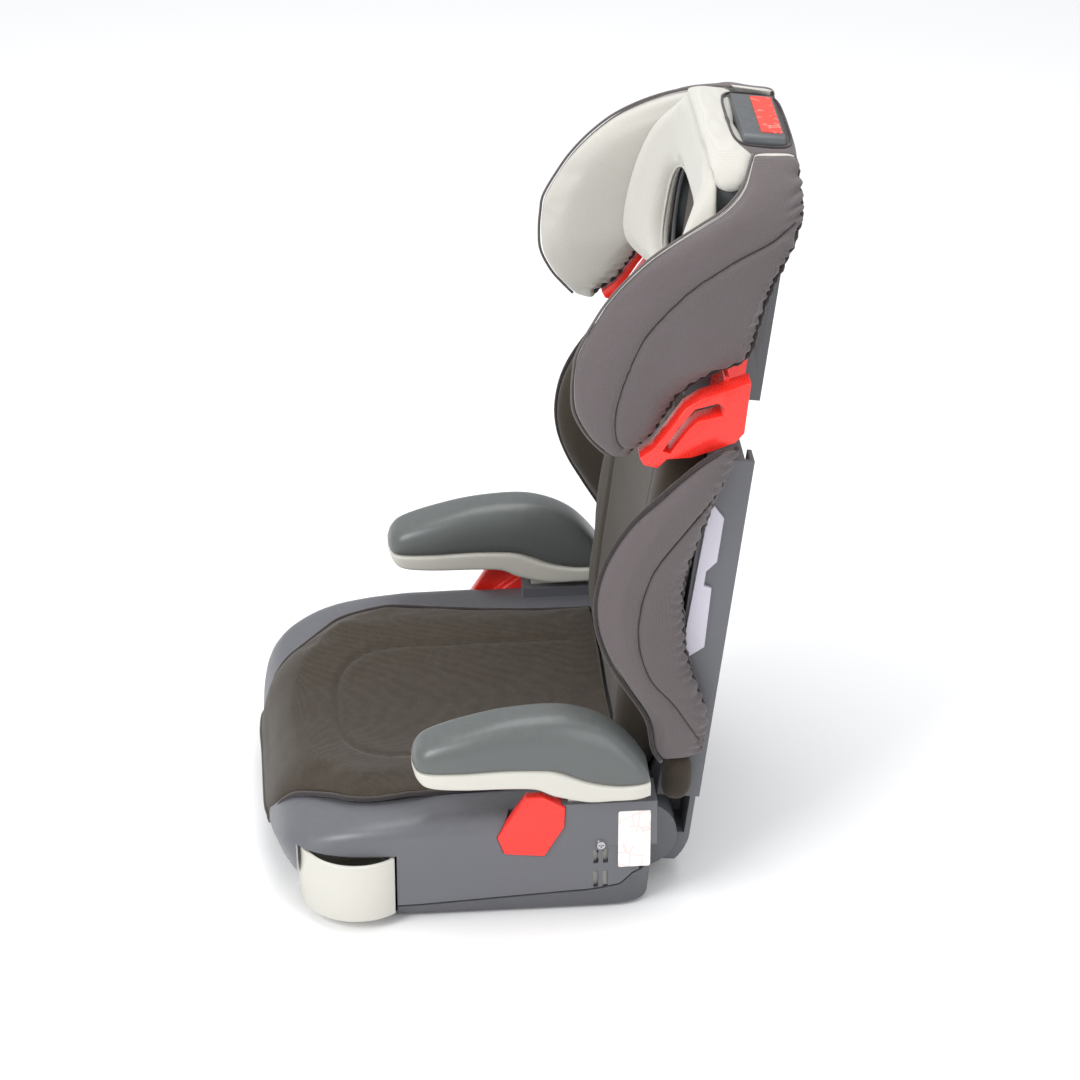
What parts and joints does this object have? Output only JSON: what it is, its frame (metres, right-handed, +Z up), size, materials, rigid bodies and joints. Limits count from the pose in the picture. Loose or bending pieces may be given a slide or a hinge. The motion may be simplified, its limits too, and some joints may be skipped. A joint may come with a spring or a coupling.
{
  "type": "booster seat",
  "caption": "High-back child booster seat with hooked reclining back, sliding winged headrest, belt guides, raisable armrests and pull-out cup holders.",
  "frame": {"origin": "centre of the base's underside, on the surface that the seat stands on", "axes": "+Z up, the seat faces -Y, +X is the left-hand side of a child who sits in it"},
  "size_m": [0.436, 0.4628, 0.6644],
  "materials": {
    "base_plastic": "fine satin moulded texture",
    "tray_plastic": "fine satin moulded texture",
    "cap_plastic": "soft satin",
    "light_plastic": "satin",
    "red_plastic": "half gloss",
    "dark_plastic": "satin",
    "rack_plastic": "satin",
    "steel": "zinc plated",
    "brown_fabric": "ribbed knit",
    "taupe_fabric": "knit",
    "light_fabric": "fine knit",
    "pale_foam": "moulded bead foam",
    "label_white": "printed film",
    "label_red": "printed film"
  },
  "bodies": {
    "base": {"base_shell": "base_plastic", "base_tray": "tray_plastic", "tray_screws": "steel", "hinge_rod": "steel", "seat_pad": "brown_fabric", "lap_guide_left": "red_plastic", "lap_guide_right": "red_plastic", "side_label": "label_white", "armrest_screw_left": "steel", "armrest_screw_right": "steel"},
    "armrest_left": {"armrest_frame_left": "light_plastic", "armrest_cap_left": "cap_plastic", "cap_screws_left": "steel"},
    "armrest_right": {"armrest_frame_right": "light_plastic", "armrest_cap_right": "cap_plastic", "cap_screws_right": "steel"},
    "cup_left": {"cup_holder_left": "light_plastic"},
    "cup_right": {"cup_holder_right": "light_plastic"},
    "backrest": {"back_shell": "base_plastic", "stop_rack": "rack_plastic", "rack_screws": "steel", "back_pad": "brown_fabric", "side_foam_left": "pale_foam", "side_foam_right": "pale_foam", "torso_wing_left": "taupe_fabric", "torso_wing_right": "taupe_fabric"},
    "headrest": {"head_carrier": "dark_plastic", "head_arm_left": "dark_plastic", "head_arm_right": "dark_plastic", "arm_screws": "steel", "head_pad": "light_fabric", "head_wing_left": "taupe_fabric", "head_wing_right": "taupe_fabric", "shoulder_guide_left": "red_plastic", "shoulder_guide_right": "red_plastic", "return_spring": "steel"},
    "handle": {"adjust_handle": "dark_plastic", "handle_label": "label_red", "pull_rod": "steel"},
    "latch": {"latch_bar": "steel"}
  },
  "joints": [
    {"name": "armrest_left_lift", "type": "slide", "parent": "base", "child": "armrest_left", "axis": [0, 0, 1], "range_m": [0, 0.03]},
    {"name": "armrest_right_lift", "type": "slide", "parent": "base", "child": "armrest_right", "axis": [0, 0, 1], "range_m": [0, 0.03]},
    {"name": "cup_left_slide", "type": "slide", "parent": "base", "child": "cup_left", "axis": [1, 0, 0], "range_m": [-0.006, 0.06]},
    {"name": "cup_right_slide", "type": "slide", "parent": "base", "child": "cup_right", "axis": [-1, 0, 0], "range_m": [-0.006, 0.06]},
    {"name": "back_recline", "type": "hinge", "parent": "base", "child": "backrest", "pos_m": [0, 0.152, 0.048], "axis": [-1, 0, 0], "range_deg": [0, 80]},
    {"name": "head_slide", "type": "slide", "parent": "backrest", "child": "headrest", "axis": [0, 0.1219, 0.9925], "range_m": [0, 0.168]},
    {"name": "handle_pull", "type": "slide", "parent": "headrest", "child": "handle", "axis": [0, 0.1219, 0.9925], "range_m": [0, 0.008], "stiffness_N_per_m": 900, "springref_m": -0.004, "deforming": ["return_spring"]},
    {"name": "latch_draw", "type": "slide", "parent": "headrest", "child": "latch", "axis": [0, 0.9925, -0.1219], "range_m": [0, 0.0072]}
  ],
  "couplings": [
    {"joint": "latch_draw", "follows": "handle_pull", "ratio": 0.9}
  ]
}
